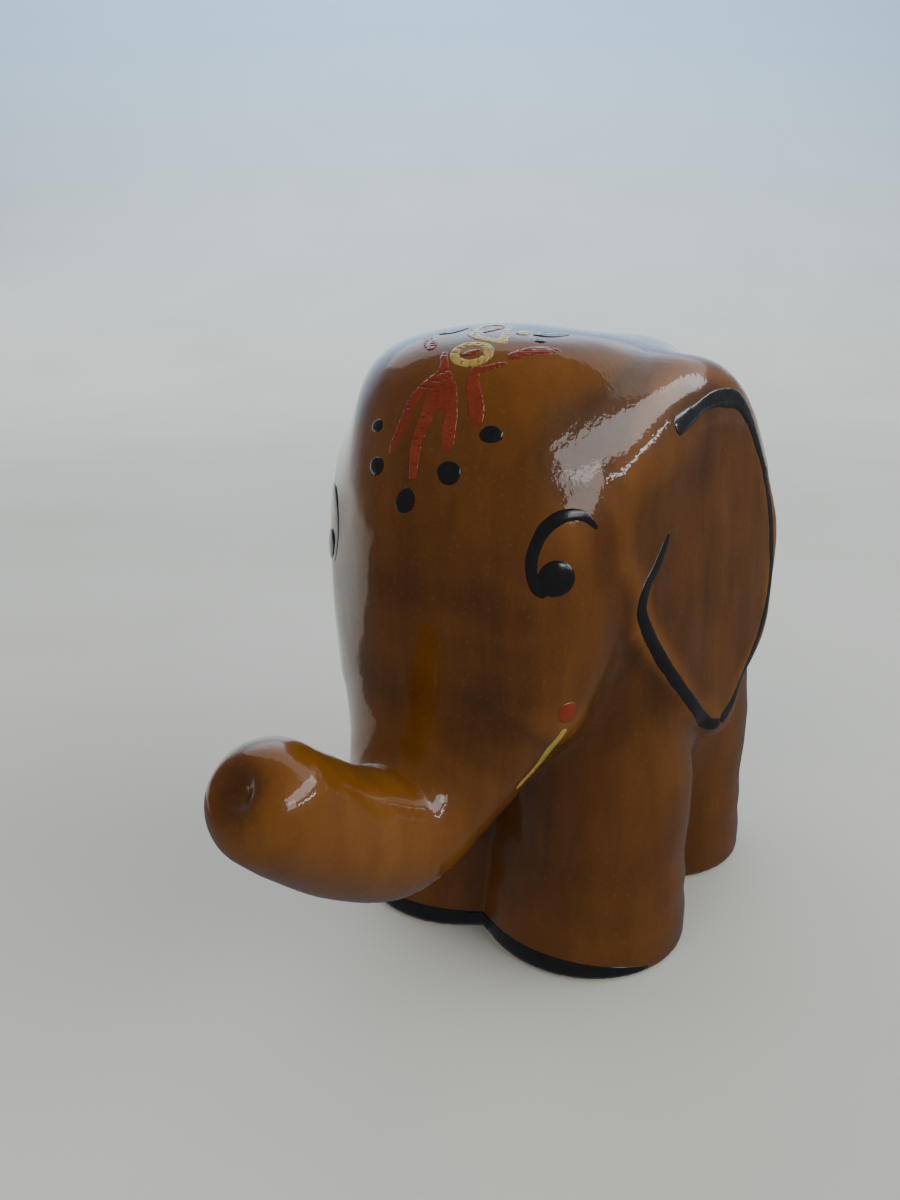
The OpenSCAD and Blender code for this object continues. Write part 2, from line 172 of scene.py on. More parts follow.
def outside(p):
    """Signed distance to the fired elephant without its hollow."""
    s = p.copy()
    s[:, 0] = np.abs(s[:, 0])
    d = smin(torso_and_head(s), blob(s, vec(0, -19.3, 50), vec(14.9, 20.2, 24.2), 2.2), 6)
    d = smin(d, limbs(s, CHEEK), 4)
    d = smin(d, limbs(s, BROW), 7)
    d = smin(d, limbs(s, TRUNK), 4)
    for y in FOOT_Y:
        d = smin(d, limbs(s, leg(y)), 4)
    d = smin(d, blob(s, vec(0, 0, 6), vec(15.6, 20, 16), 3), 4)
    e = ear_frame(s)
    d = smin(d, smax(ear_outline(e[:, 1], e[:, 2]), np.abs(e[:, 0]) - EAR_HALF, 3), 2)
    d = smin(d, limbs(p, TAIL), 2)
    nostril = np.sqrt(((p - NOSTRIL) ** 2).sum(1)) - 2.8
    d = smax(d, -nostril, 1.2)
    return smax(d, -p[:, 2], FOOT_ROUND)


def hollow(p):
    """Signed distance to the coin chamber, the slot and the stopper's hole together."""
    s = p.copy()
    s[:, 0] = np.abs(s[:, 0])
    c = torso_and_head(s, WALL)
    for y in FOOT_Y:
        c = smin(c, limbs(s, leg(y, WALL)), 4)
    c = smax(c, RECESS + FLOOR - p[:, 2], 1.5)
    half = (SLOT_LENGTH - SLOT_WIDTH) / 2
    slot = np.hypot(p[:, 0], np.maximum(np.abs(p[:, 1] - SLOT_BACK) - half, 0)) - SLOT_WIDTH / 2
    slot = np.maximum(slot, SLOT_FROM - p[:, 2])
    r = np.hypot(p[:, 0], p[:, 1])
    through = RECESS + FLOOR + 5
    hole = np.maximum(r - HOLE_R, p[:, 2] - through)
    recess = np.maximum(r - RECESS_R, p[:, 2] - RECESS)
    return np.minimum(np.minimum(c, slot), np.minimum(hole, recess))


def shell(p):
    """The fired wall. The glaze rounds the slot's rim more than the edges under the base."""
    return smax(outside(p), -hollow(p), np.where(p[:, 2] > UPPER, SLOT_ROUND, BASE_ROUND))


def gradient(field, p, e=0.05):
    """Central differences of the field at each point."""
    g = np.empty_like(p)
    for i in range(3):
        a, b = p.copy(), p.copy()
        a[:, i] += e
        b[:, i] -= e
        g[:, i] = (field(a) - field(b)) / (2 * e)
    return g


def unit(v):
    return v / (np.linalg.norm(v, axis=-1, keepdims=True) + 1e-12)


def settle(field, p, rounds=4, most=0.6):
    """Moves points onto the surface along the field's gradient."""
    for _ in range(rounds):
        g = gradient(field, p)
        d = field(p) / np.maximum((g * g).sum(1), 0.2)
        p = p - np.clip(d, -most, most)[:, None] * g
    return p


# ------------------------------------------------------------------ skin of a field
def net(field, lo, hi, step):
    """Surface net of the field: one vertex a crossed cell, one quad a crossed edge."""
    n = np.ceil((hi - lo) / step).astype(int) + 1
    n = (n + 3) // 4 * 4 + 1
    axes = [lo[i] + np.arange(n[i]) * step for i in range(3)]
    coarse = np.stack(np.meshgrid(*[a[::4] for a in axes], indexing="ij"), -1)
    rough = field(coarse.reshape(-1, 3)).reshape(coarse.shape[:3])
    value = np.repeat(np.repeat(np.repeat(rough, 4, 0), 4, 1), 4, 2)[:n[0], :n[1], :n[2]]
    near = np.abs(rough) < 4 * step * 1.9
    near = np.repeat(np.repeat(np.repeat(near, 4, 0), 4, 1), 4, 2)
    near = np.roll(near, (-2, -2, -2), (0, 1, 2)) | near | np.roll(near, (2, 2, 2), (0, 1, 2))
    near = near[:n[0], :n[1], :n[2]]
    at = np.argwhere(near)
    out = np.empty(len(at))
    batch = 200000
    for a in range(0, len(at), batch):
        out[a:a + batch] = field(lo + at[a:a + batch] * step)
    value[near] = out

    inside = value < 0
    total = np.zeros(tuple(n - 1) + (3,))
    count = np.zeros(tuple(n - 1))
    for axis in range(3):
        b, c = [i for i in range(3) if i != axis]
        lo_cut = [slice(None)] * 3
        hi_cut = [slice(None)] * 3
        lo_cut[axis], hi_cut[axis] = slice(0, -1), slice(1, None)
        v0, v1 = value[tuple(lo_cut)], value[tuple(hi_cut)]
        cross = inside[tuple(lo_cut)] != inside[tuple(hi_cut)]
        t = np.where(cross, v0 / np.where(cross, v0 - v1, 1), 0)
        for ob in (0, 1):
            for oc in (0, 1):
                cut = [slice(None)] * 3
                cut[b] = slice(ob, n[b] - 1 + ob)
                cut[c] = slice(oc, n[c] - 1 + oc)
                m = cross[tuple(cut)]
                count += m
                total[..., axis] += np.where(m, t[tuple(cut)], 0)
                total[..., b] += m * ob
                total[..., c] += m * oc
    used = count > 0
    index = np.full(used.shape, -1)
    index[used] = np.arange(used.sum())
    verts = lo + (np.argwhere(used) + total[used] / count[used][:, None]) * step
    quads = []
    for axis in range(3):
        b, c = [(1, 2), (2, 0), (0, 1)][axis]
        lo_cut = [slice(1, -1)] * 3
        hi_cut = [slice(1, -1)] * 3
        lo_cut[axis], hi_cut[axis] = slice(0, -1), slice(1, None)
        s0, s1 = inside[tuple(lo_cut)], inside[tuple(hi_cut)]
        e = np.argwhere(s0 != s1)
        flip = s0[tuple(e.T)]
        base = e.copy()
        base[:, b] += 1
        base[:, c] += 1

        def cell(db, dc):
            k = base.copy()
            k[:, b] -= db
            k[:, c] -= dc
            return index[tuple(k.T)]

        q = np.stack([cell(1, 1), cell(0, 1), cell(0, 0), cell(1, 0)], 1)
        q[~flip] = q[~flip][:, ::-1]
        quads.append(q)
    return verts, np.vstack(quads)


# ------------------------------------------------------------------ pieces
def put(p):
    """From modelling millimetres to the row frame in metres."""
    return (p + vec(0, FORWARD, 0)) * 0.001


def piece(name, verts, faces, material, body, node, normals=None):
    """A mesh that rides on a body and stands for a CAD node."""
    mesh = bpy.data.meshes.new(name)
    mesh.from_pydata(put(verts).tolist(), [], [list(map(int, f)) for f in faces])
    mesh.validate()
    mesh.polygons.foreach_set("use_smooth", [True] * len(mesh.polygons))
    mesh.materials.append(material)
    if normals is not None:
        mesh.normals_split_custom_set_from_vertices(normals.tolist())
    mesh.update()
    obj = bpy.data.objects.new(name, mesh)
    bpy.context.scene.collection.objects.link(obj)
    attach(obj, body)
    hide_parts(node)
    return obj


def mirrored(verts, faces):
    """The same mesh on the other side of the elephant, still facing outwards."""
    return verts * vec(-1, 1, 1), [f[::-1] for f in faces]


def land(start, direction):
    """First points of the skin met from each start along the direction."""
    p = np.array(start, float).reshape(-1, 3)
    u = unit(np.array(direction, float))
    for _ in range(90):
        p = p + outside(p)[:, None] * 0.95 * u
    return settle(outside, p)


def stroke(seeds, widths, lift=0.12, cols=9, spacing=0.3, round_start=1.0, round_end=1.0):
    """A brush stroke of enamel: a low domed ribbon that follows the skin, closed underneath."""
    seeds = np.asarray(seeds, float)
    widths = np.interp(np.linspace(0, 1, len(seeds)), np.linspace(0, 1, len(widths)), widths)
    line = spline(np.column_stack([seeds, widths]), 8)
    p = settle(outside, line[:, :3])
    run = np.concatenate([[0], np.cumsum(np.linalg.norm(np.diff(p, axis=0), axis=1))])
    length = run[-1]
    n = max(8, int(length / spacing))
    at = (1 - np.cos(np.linspace(0, np.pi, n))) / 2
    at = (0.25 * at + 0.75 * np.linspace(0, 1, n)) * length
    p = np.stack([np.interp(at, run, p[:, i]) for i in range(3)], 1)
    w = np.interp(at, run, line[:, 3])
    cap = np.maximum(w / 2, 0.2)
    a = np.clip(at / (cap * round_start), 0, 1)
    b = np.clip((length - at) / (cap * round_end), 0, 1)
    w = w * np.sqrt(np.clip(1 - (1 - a) ** 2, 0.004, 1)) * np.sqrt(np.clip(1 - (1 - b) ** 2, 0.004, 1))
    # A hand-held brush: the edge wanders a little along the stroke.
    w = w * (1 + 0.04 * np.sin(at * 1.3 + seeds[0, 2]) + 0.015 * np.sin(at * 3.7 + seeds[0, 1]))
    p = settle(outside, p)
    normal = unit(gradient(outside, p))
    along = unit(np.gradient(p, axis=0))
    side = unit(np.cross(along, normal))
    u = np.linspace(-1, 1, cols)
    grid = p[:, None, :] + side[:, None, :] * (u[None, :, None] * w[:, None, None] / 2)
    flat = settle(outside, grid.reshape(-1, 3), 3)
    out = unit(gradient(outside, flat))
    narrow = np.clip(w / w.max(), 0.25, 1)[:, None]
    height = (lift * (1 - u[None, :] ** 4) * narrow - RIM_SUNK).reshape(-1, 1)
    top = flat + out * height
    under = flat - out * SUNK
    return solidify(top, under, n, cols)


def solidify(top, under, rows, cols):
    """Closes a grid of top points over the same grid of underside points."""
    c = rows * cols
    i, j = np.meshgrid(np.arange(rows - 1), np.arange(cols - 1), indexing="ij")
    a = (i * cols + j).ravel()
    over = np.stack([a, a + 1, a + cols + 1, a + cols], 1)
    below = over[:, ::-1] + c
    rim = (list(range(cols)) + [r * cols + cols - 1 for r in range(1, rows)]
           + [(rows - 1) * cols + j for j in range(cols - 2, -1, -1)]
           + [r * cols for r in range(rows - 2, 0, -1)])
    edge = [(p, p + c, q + c, q) for p, q in zip(rim, rim[1:] + rim[:1])]
    return np.vstack([top, under]), [list(f) for f in (*over, *below, *edge)]


def dot(centre, radius, lift=0.14, rings=7, around=28, squash=1.0, wobble=0.05):
    """A drop of enamel: a low dome on the skin, a little out of round."""
    c = settle(outside, np.array([centre], float))[0]
    normal = unit(gradient(outside, c[None]))[0]
    side = unit(np.cross(vec(0, 0, 1) if abs(normal[2]) < 0.9 else vec(0, 1, 0), normal))
    up = np.cross(normal, side)
    angle = np.arange(around) * 2 * np.pi / around
    reach = radius * (1 + wobble * np.sin(2 * angle + c[0]) + wobble * 0.6 * np.sin(3 * angle + c[2]))
    pts, height = [c], [lift]
    for k in range(1, rings + 1):
        f = k / rings
        pts += list(c + (side * np.cos(angle)[:, None] + up * np.sin(angle)[:, None] * squash)
                    * (reach * f)[:, None])
        height += [lift * math.sqrt(max(0, 1 - f ** 2.4)) - RIM_SUNK * f] * around
    flat = settle(outside, np.array(pts), 3)
    out = unit(gradient(outside, flat))
    top = flat + out * np.array(height)[:, None]
    outer = np.arange(around) + 1 + (rings - 1) * around
    bottom = np.vstack([flat[outer] - out[outer] * SUNK, [c - normal * 0.2]])
    n = len(top)
    faces = [[0, 1 + k, 1 + (k + 1) % around] for k in range(around)]
    for r in range(rings - 1):
        for k in range(around):
            a, b = 1 + r * around + k, 1 + r * around + (k + 1) % around
            faces.append([a, a + around, b + around, b])
    for k in range(around):
        a, b = outer[k], outer[(k + 1) % around]
        faces.append([a, n + k, n + (k + 1) % around, b])
        faces.append([n + (k + 1) % around, n + k, n + around])
    return np.vstack([top, bottom]), faces


def join(parts):
    """Several (verts, faces) meshes as one."""
    verts, faces, k = [], [], 0
    for v, f in parts:
        verts.append(v)
        faces += [[int(i) + k for i in q] for q in f]
        k += len(v)
    return np.vstack(verts), faces


# ------------------------------------------------------------------ materials
def srgb(r, g, b):
    """Linear colour from 0-255 display values."""
    display = (r / 255, g / 255, b / 255)
    return tuple(c / 12.92 if c <= 0.04045 else ((c + 0.055) / 1.055) ** 2.4 for c in display) + (1,)


class Nodes:
    """A short way to wire a node material."""

    def __init__(self, name):
        self.mat = bpy.data.materials.new(name)
        self.mat.use_nodes = True
        self.tree = self.mat.node_tree
        self.tree.nodes.clear()
        self.out = self.add("ShaderNodeOutputMaterial")
        self.shader = self.add("ShaderNodeBsdfPrincipled")
        self.tree.links.new(self.shader.outputs[0], self.out.inputs[0])
        self.where = self.add("ShaderNodeTexCoord").outputs["Object"]

    def add(self, kind, **settings):
        node = self.tree.nodes.new(kind)
        for k, v in settings.items():
            setattr(node, k, v)
        return node

    def link(self, a, b):
        self.tree.links.new(a, b)

    def set(self, **values):
        for k, v in values.items():
            self.shader.inputs[k.replace("_", " ")].default_value = v

    def noise(self, scale, detail=2.0, rough=0.5, stretch=(1, 1, 1), distort=0.0, offset=(0, 0, 0)):
        """Noise in object space; scale is in features per metre."""
        m = self.add("ShaderNodeMapping")
        m.inputs["Scale"].default_value = stretch
        m.inputs["Location"].default_value = offset
        self.link(self.where, m.inputs[0])
        n = self.add("ShaderNodeTexNoise")
        n.inputs["Scale"].default_value = scale
        n.inputs["Detail"].default_value = detail
        n.inputs["Roughness"].default_value = rough
        n.inputs["Distortion"].default_value = distort
        self.link(m.outputs[0], n.inputs["Vector"])
        return n.outputs["Fac"]

    def ramp(self, source, *stops):
        """A colour ramp through (position, colour) stops."""
        r = self.add("ShaderNodeValToRGB")
        e = r.color_ramp.elements
        while len(e) < len(stops):
            e.new(0.5)
        for k, (at, colour) in enumerate(stops):
            e[k].position = at
            e[k].color = colour
        self.link(source, r.inputs[0])
        return r.outputs[0]

    def level(self, source, low, high, to_low=0.0, to_high=1.0):
        """Carries the range low to high onto to_low to to_high, and clamps it."""
        m = self.add("ShaderNodeMapRange", clamp=True)
        for k, v in zip(("From Min", "From Max", "To Min", "To Max"), (low, high, to_low, to_high)):
            m.inputs[k].default_value = v
        self.link(source, m.inputs["Value"])
        return m.outputs[0]

    def mix(self, factor, a, b, how="MIX"):
        m = self.add("ShaderNodeMix", data_type="RGBA", blend_type=how)
        self.feed(m.inputs[0], factor)
        self.feed(m.inputs[6], a)
        self.feed(m.inputs[7], b)
        return m.outputs[2]

    def math(self, how, a, b):
        m = self.add("ShaderNodeMath", operation=how)
        self.feed(m.inputs[0], a)
        self.feed(m.inputs[1], b)
        return m.outputs[0]

    def feed(self, socket, value):
        if isinstance(value, bpy.types.NodeSocket):
            self.link(value, socket)
        else:
            socket.default_value = value

    def attribute(self, name):
        return self.add("ShaderNodeAttribute", attribute_name=name).outputs["Fac"]

    def bump(self, *layers):
        """Layers of (height source, depth in metres, strength), fine over coarse."""
        last = None
        for source, depth, strength in layers:
            b = self.add("ShaderNodeBump")
            b.inputs["Strength"].default_value = strength
            b.inputs["Distance"].default_value = depth
            self.link(source, b.inputs["Height"])
            if last is not None:
                self.link(last, b.inputs["Normal"])
            last = b.outputs[0]
        self.link(last, self.shader.inputs["Normal"])
        return last


def glaze_material():
    """Honey-brown iron glaze: dark where it lies thick, amber where it is thin, streaked where it ran. The
    thin attribute also holds a painted sheen on the cheeks and painted shade in the nostril.
    """
    n = Nodes("honey_glaze")
    thin = n.attribute("thin")
    dark, mid, amber = srgb(56, 29, 4), srgb(114, 68, 18), srgb(162, 116, 56)
    cloud = n.noise(95, 3, 0.55)
    streak = n.noise(330, 3, 0.6, stretch=(1, 1, 0.16), distort=0.4)
    fleck = n.noise(2600, 2, 0.7)
    amount = n.math("ADD", n.level(thin, 0, 1, 0.02, 0.92), n.level(cloud, 0.3, 0.7, -0.06, 0.06))
    amount = n.math("ADD", amount, n.level(streak, 0.3, 0.7, -0.06, 0.05))
    colour = n.ramp(amount, (0.0, dark), (0.45, mid), (1.0, amber))
    redder = n.noise(150, 2, 0.5, stretch=(1, 1, 0.35), offset=(0.3, 0.1, 0.2))
    colour = n.mix(n.level(redder, 0.45, 0.75, 0, 0.2), colour, srgb(96, 42, 8))
    colour = n.mix(n.level(fleck, 0.62, 0.74, 0, 0.2), colour, srgb(30, 15, 8))
    colour = n.mix(n.level(fleck, 0.38, 0.3, 0, 0.1), colour, srgb(178, 120, 62))
    n.link(colour, n.shader.inputs["Base Color"])
    n.link(n.level(cloud, 0.3, 0.7, 0.3, 0.38), n.shader.inputs["Roughness"])
    n.set(Coat_Weight=1.0, Coat_Roughness=0.03, Coat_IOR=1.55, IOR=1.5, Specular_IOR_Level=0.15)
    ripple = n.noise(120, 1, 0.4)
    grain = n.noise(1500, 2, 0.5)
    coat = n.bump((ripple, 0.0006, 0.55), (grain, 0.00004, 0.5))
    n.link(coat, n.shader.inputs["Coat Normal"])
    return n.mat


def clay_material():
    """Bare fired clay under the feet and inside: pale and gritty."""
    n = Nodes("bare_clay")
    cloud = n.noise(180, 4, 0.6)
    grit = n.noise(3200, 2, 0.7)
    colour = n.ramp(cloud, (0.3, srgb(176, 140, 106)), (0.7, srgb(208, 178, 144)))
    colour = n.mix(n.level(grit, 0.6, 0.75, 0, 0.6), colour, srgb(120, 88, 62))
    n.link(colour, n.shader.inputs["Base Color"])
    n.link(n.level(cloud, 0.3, 0.7, 0.75, 0.9), n.shader.inputs["Roughness"])
    n.bump((cloud, 0.0003, 0.5), (grit, 0.00012, 0.8))
    return n.mat


def enamel_material(name, body, thin, deep):
    """Brushed enamel over the glaze: denser where the brush left more, brown where it is thin."""
    n = Nodes(name)
    hair = n.noise(1700, 3, 0.6, distort=0.6)
    pool = n.noise(420, 2, 0.5)
    colour = n.mix(n.level(hair, 0.5, 0.78, 0, 0.55), body, thin)
    colour = n.mix(n.level(pool, 0.45, 0.7, 0, 0.6), colour, deep)
    n.link(colour, n.shader.inputs["Base Color"])
    n.link(n.level(pool, 0.3, 0.7, 0.16, 0.28), n.shader.inputs["Roughness"])
    n.set(Coat_Weight=0.8, Coat_Roughness=0.05, Specular_IOR_Level=0.4)
    n.bump((pool, 0.0002, 0.5), (hair, 0.00004, 0.6))
    return n.mat


def rubber_material():
    """Dark matte rubber with pale dust on it."""
    n = Nodes("stopper_rubber")
    cloud = n.noise(260, 3, 0.6)
    dust = n.noise(2400, 3, 0.6)
    colour = n.ramp(cloud, (0.3, srgb(46, 43, 41)), (0.7, srgb(66, 62, 58)))
    colour = n.mix(n.level(dust, 0.55, 0.8, 0, 0.4), colour, srgb(120, 114, 106))
    n.link(colour, n.shader.inputs["Base Color"])
    n.link(n.level(cloud, 0.3, 0.7, 0.55, 0.72), n.shader.inputs["Roughness"])
    n.bump((cloud, 0.0002, 0.4), (dust, 0.00006, 0.6))
    return n.mat


GLAZE = glaze_material()
CLAY = clay_material()
BLACK = enamel_material("black_enamel", srgb(20, 19, 20), srgb(44, 28, 18), srgb(10, 11, 14))
RED = enamel_material("red_enamel", srgb(116, 42, 16), srgb(92, 42, 14), srgb(138, 46, 18))
YELLOW = enamel_material("yellow_enamel", srgb(160, 134, 60), srgb(118, 84, 26), srgb(182, 158, 84))
RUBBER = rubber_material()


# ------------------------------------------------------------------ the fired shell
# The block that the skin is cut from, and the size of its cells.
LOW, HIGH, CELL = vec(-29, -68, -1.3), vec(29, 33, 79), 0.75


def build_shell():
    """The casting, with how thinly the glaze lies at each point plus a painted sheen on the cheeks and
    painted shade in the nostril, and bare clay where none ran.
    """
    verts, quads = net(shell, LOW, HIGH, CELL)
    verts = settle(shell, verts, 3, 0.5)
    # The glaze ran a little way into the slot: corners near its end are moved onto it, for an even edge.
    depth = outside(verts)
    snap = 0.42
    at = (np.abs(depth + GLAZED) < snap) & (verts[:, 2] > UPPER)
    verts[at] -= (depth[at] + GLAZED)[:, None] * unit(gradient(outside, verts[at]))
    depth = outside(verts)
    g = unit(gradient(shell, verts, 0.4))
    # Thick glaze fills the hollow between brow and crown, so it reflects as one soft bend there.
    folded = np.column_stack([np.abs(verts[:, 0]), verts[:, 1:]])
    far = np.linalg.norm((folded - vec(15, -23, 66)) / vec(9, 15, 9), axis=1)
    filled = np.clip((1.5 - far) / 0.5, 0, 1) * (depth > -0.6)
    at = filled > 0
    g[at] = unit(g[at] + (unit(gradient(outside, verts[at], 6.5)) - g[at]) * filled[at][:, None])
    # Convex places hold little glaze and concave ones hold a lot.
    reach = 2.4
    bend = -6 * depth
    for axis in range(3):
        for sign in (-1, 1):
            q = verts.copy()
            q[:, axis] += sign * reach
            bend += outside(q)
    bend /= reach * reach
    ridge = np.clip((bend - 0.03) / 0.22, 0, 1)
    # Legs and trunk are plain tubes: their glaze lies evenly.
    x, y, z = np.abs(verts[:, 0]), verts[:, 1], verts[:, 2]
    tube = np.maximum(np.clip((36 - z) / 8, 0, 1), np.clip((-38 - y) / 6, 0, 1))
    ridge = ridge * (1 - tube) + 0.3 * tube
    # The temples, ears and trunk drained thinner in the firing and are lighter, and the middle of the
    # forehead is darker. The cheeks are lightened as a painted sheen.
    cheek_sheen = np.exp(-(((y + 30) / 9) ** 2 + ((z - 43) / 12) ** 2)) * np.clip((x - 7) / 8, 0, 1)
    trunk = np.clip((-35 - y) / 10, 0, 1)
    ahead = np.clip((-26 - y) / 6, 0, 1) * (1 - trunk)
    front = np.exp(-((x / 9) ** 2 + ((z - 50) / 14) ** 2)) * ahead
    temple = np.exp(-(((x - 11) / 4) ** 2 + ((z - 62) / 9) ** 2)) * ahead
    ear = np.exp(-((y / 14) ** 2 + ((z - 50) / 18) ** 2)) * np.clip((x - 20) / 3, 0, 1)
    # The nostril's hollow is made darker: partly thick pooled glaze, partly painted shade in the hollow.
    nostril = np.exp(-((verts - NOSTRIL) ** 2).sum(1) / 3.1 ** 2)
    thinner = 0.12 + 0.42 * ridge + 0.07 * cheek_sheen + 0.21 * trunk + 0.1 * ear + 0.12 * temple
    thin = np.clip(thinner - 0.28 * front - 0.9 * nostril, 0, 1)
    obj = piece("ceramic_shell", verts, quads, GLAZE, "shell", "body_shell", g)
    mesh = obj.data
    mesh.materials.append(CLAY)
    # The thin attribute holds the glaze's thinness together with the painted sheen on the cheeks and the
    # painted shade in the nostril.
    layer = mesh.attributes.new("thin", "FLOAT", "POINT")
    layer.data.foreach_set("value", thin.astype(np.float32))
    centre = verts[quads].mean(1)
    normal = unit(g[quads].mean(1))
    away = np.hypot(centre[:, 0], centre[:, 1])
    outward = (centre[:, :2] * normal[:, :2]).sum(1) / (away + 1e-9)
    deep = depth[quads].max(1) < -GLAZED + 0.02
    foot = (centre[:, 2] < 0.25) & (normal[:, 2] < -0.75)
    recess = (away < RECESS_R + 0.4) & (centre[:, 2] < RECESS + FLOOR + 0.5) & (outward < 0.5)
    bare = deep | foot | recess
    mesh.polygons.foreach_set("material_index", bare.astype(np.int32))
    return obj


build_shell()


# ------------------------------------------------------------------ the enamel, at the CAD's places
def side_seeds(points):
    """Seeds from (y, z) places seen from the left."""
    p = np.array([(30, y, z) for y, z in points], float)
    return land(spline(p, 4) if len(p) > 1 else p, (-1, 0, 0))


def front_seed(x, z):
    """The place on the skin at (x, z), seen from the front."""
    return land((x, -75, z), (0, 1, 0))[0]


EYE_AT, EYE_TURN = vec(14.3, -33.2, 52.4), math.radians(42)


def eye_seeds(points):
    """Seeds from (back, up) places around the pupil, seen square to the face there."""
    along = vec(math.cos(EYE_TURN), math.sin(EYE_TURN), 0)
    out = vec(math.sin(EYE_TURN), -math.cos(EYE_TURN), 0)
    p = np.array([EYE_AT + along * a + vec(0, 0, 1) * b + out * 9 for a, b in points])
    return land(spline(p, 4) if len(p) > 1 else p, -out)


CROWN_AT, CROWN_TILT = vec(0, -27, 74), math.radians(50)


def crown_seeds(points):
    """Seeds from (across, back) places on the front of the crown, seen square to its slope."""
    back = vec(0, math.cos(CROWN_TILT), math.sin(CROWN_TILT))
    out = vec(0, -math.sin(CROWN_TILT), math.cos(CROWN_TILT))
    p = np.array([CROWN_AT + vec(1, 0, 0) * a + back * b + out * 9 for a, b in points])
    return land(spline(p, 4), -out)


def pair(name, node, parts, material):
    """A piece on the left, and its mirror image on the right."""
    verts, faces = join(parts)
    piece(name + "_left", verts, faces, material, "shell", node + "_left")
    v, f = mirrored(verts, faces)
    piece(name + "_right", v, f, material, "shell", node + "_right")


def single(name, node, parts, material):
    """One piece that holds all of the given parts."""
    verts, faces = join(parts)
    piece(name, verts, faces, material, "shell", node)


EYE_BROW = [(4.3, 4.6), (2.7, 6), (0.7, 6.1), (-1.2, 4.9), (-2.3, 2.7), (-2.5, 0.9), (-2, -0.9),
            (-0.8, -1.6)]
pair("eye_enamel", "eye", [
    dot(eye_seeds([(0, 0)])[0], 1.95, lift=0.3, wobble=0.03),
    stroke(eye_seeds(EYE_BROW), [0.5, 1.2, 1.45, 1.5, 1.4, 1.3, 1.3, 1.2]),
], BLACK)

EAR_BACK = [(-17.9, 65.9), (-13.3, 67.2), (-10.2, 68), (-7.1, 68.3), (-3.0, 67.8), (-0.4, 65.9),
            (1.8, 62.9), (4.0, 59.3), (5.8, 54.3), (6.5, 49.7), (6.6, 44.3), (4.6, 39.2), (1.3, 34.9),
            (-2.4, 31.2), (-5.7, 29.2)]
BACK_WIDTHS = [2.7, 1.8, 1.8, 2.4, 2.4, 2.0, 1.7, 1.5, 1.4, 1.4, 1.4, 1.4, 1.4, 1.5, 1.8]
EAR_FRONT = [(-17.3, 54.8), (-19.7, 51.7), (-22, 49.4), (-22.3, 46.5), (-19.3, 41.8), (-14.9, 36.5),
             (-8.7, 30.1), (-5.7, 28.9)]
FRONT_WIDTHS = [0.9, 1.6, 1.7, 1.8, 1.8, 1.7, 1.9, 1.9]
pair("ear_enamel", "ear_line", [
    stroke(side_seeds(EAR_BACK), BACK_WIDTHS, round_start=0.7),
    stroke(side_seeds(EAR_FRONT), FRONT_WIDTHS, round_start=2.5),
], BLACK)
pair("cheek_enamel", "cheek_dot", [dot(side_seeds([(-30.7, 37.6)])[0], 1.35)], RED)
MOUTH = [(-30.4, 35.6), (-30.7, 32.6), (-31.1, 30.4), (-33, 28.4)]
pair("mouth_enamel", "mouth_line", [stroke(side_seeds(MOUTH), [1.0, 1.4, 1.4, 0.9])],
     YELLOW)
# Across, up, diameter and squash of each dot.
DOTS = [(-5.3, 66.3, 1.9, 0.8), (7.5, 66.1, 2.3, 0.8), (-4.3, 62.5, 2.3, 0.9), (4.3, 62.5, 2.6, 0.9),
        (0.1, 59.6, 2.4, 1.1)]
single("forehead_enamel", "forehead_dots",
       [dot(front_seed(x, z), d / 2, squash=q) for x, z, d, q in DOTS], BLACK)


def brushed(strokes, lift=0.07, step=0.2):
    """Brush strokes of (across, back, width) on the crown, run together into one soft-edged film."""
    ca, sa = math.cos(CROWN_TILT), math.sin(CROWN_TILT)
    paths = [spline([(a, b, w / 2) for a, b, w in s], 4) for s in strokes]

    def film(p):
        q = p - CROWN_AT
        d = None
        for path in paths:
            for a, b in zip(path[:-1], path[1:]):
                e = cone2(q[:, 0], q[:, 1] * ca + q[:, 2] * sa, a, b)
                d = e if d is None else smin(d, e, 0.2)
        skin = outside(p)
        return smax(smax(d, skin - lift, 0.2), -0.16 - skin, 0.05)

    seeds = crown_seeds([tuple(k[:2]) for path in paths for k in path])
    verts, quads = net(film, seeds.min(0) - 2.2, seeds.max(0) + 2.2, step)
    return settle(film, verts, 3, 0.1), quads


# Strokes on the crown: (across, back, width) places along each.
HAND = [
    [(0.4, -3.7, 0.9), (1.2, -5.3, 1.0), (1.6, -7, 2.2), (1.6, -8.8, 2.6)],
    [(0.8, -6.5, 1.0), (-0.5, -8.2, 1.2), (-1.2, -9.5, 1.2), (-1.8, -11.8, 1.1), (-2.5, -13.9, 0.8)],
    [(1.4, -8.1, 1.8), (0.9, -10.7, 1.5), (0.4, -13.2, 1.3), (0.6, -16.2, 1.0)],
    [(2.6, -7.5, 1.6), (3.4, -9.9, 1.4), (3.6, -12, 1.4), (3.7, -13.2, 1.0)],
    [(4.5, -5.2, 0.8), (4.9, -7.1, 1.3), (5.6, -8.7, 1.6), (6, -10.2, 1.2)],
    [(4.5, -5.2, 0.8), (5.3, -5, 0.8), (6.9, -3.8, 0.6)],
]
TOUCHES = [
    [(7.2, -2.6, 1.1), (8.8, -0.9, 1.4), (10.2, 0, 0.8)],
    [(-1.6, -2.7, 1.0), (-2.3, -1.8, 1.5), (-3.5, -0.5, 1.1)],
    [(2.7, -3.5, 0.7), (3.3, -3.1, 0.8), (3.8, -2.7, 0.6)],
    [(2.4, 1, 0.7), (2.8, 1.9, 0.8), (3.1, 2.5, 0.6)],
]
RING_STROKE = 0.9
ROUND = [(3.25 + 1.75 * math.cos(t), -3.2 + 1.45 * math.sin(t), RING_STROKE)
         for t in np.radians(np.arange(0, 361, 30))]
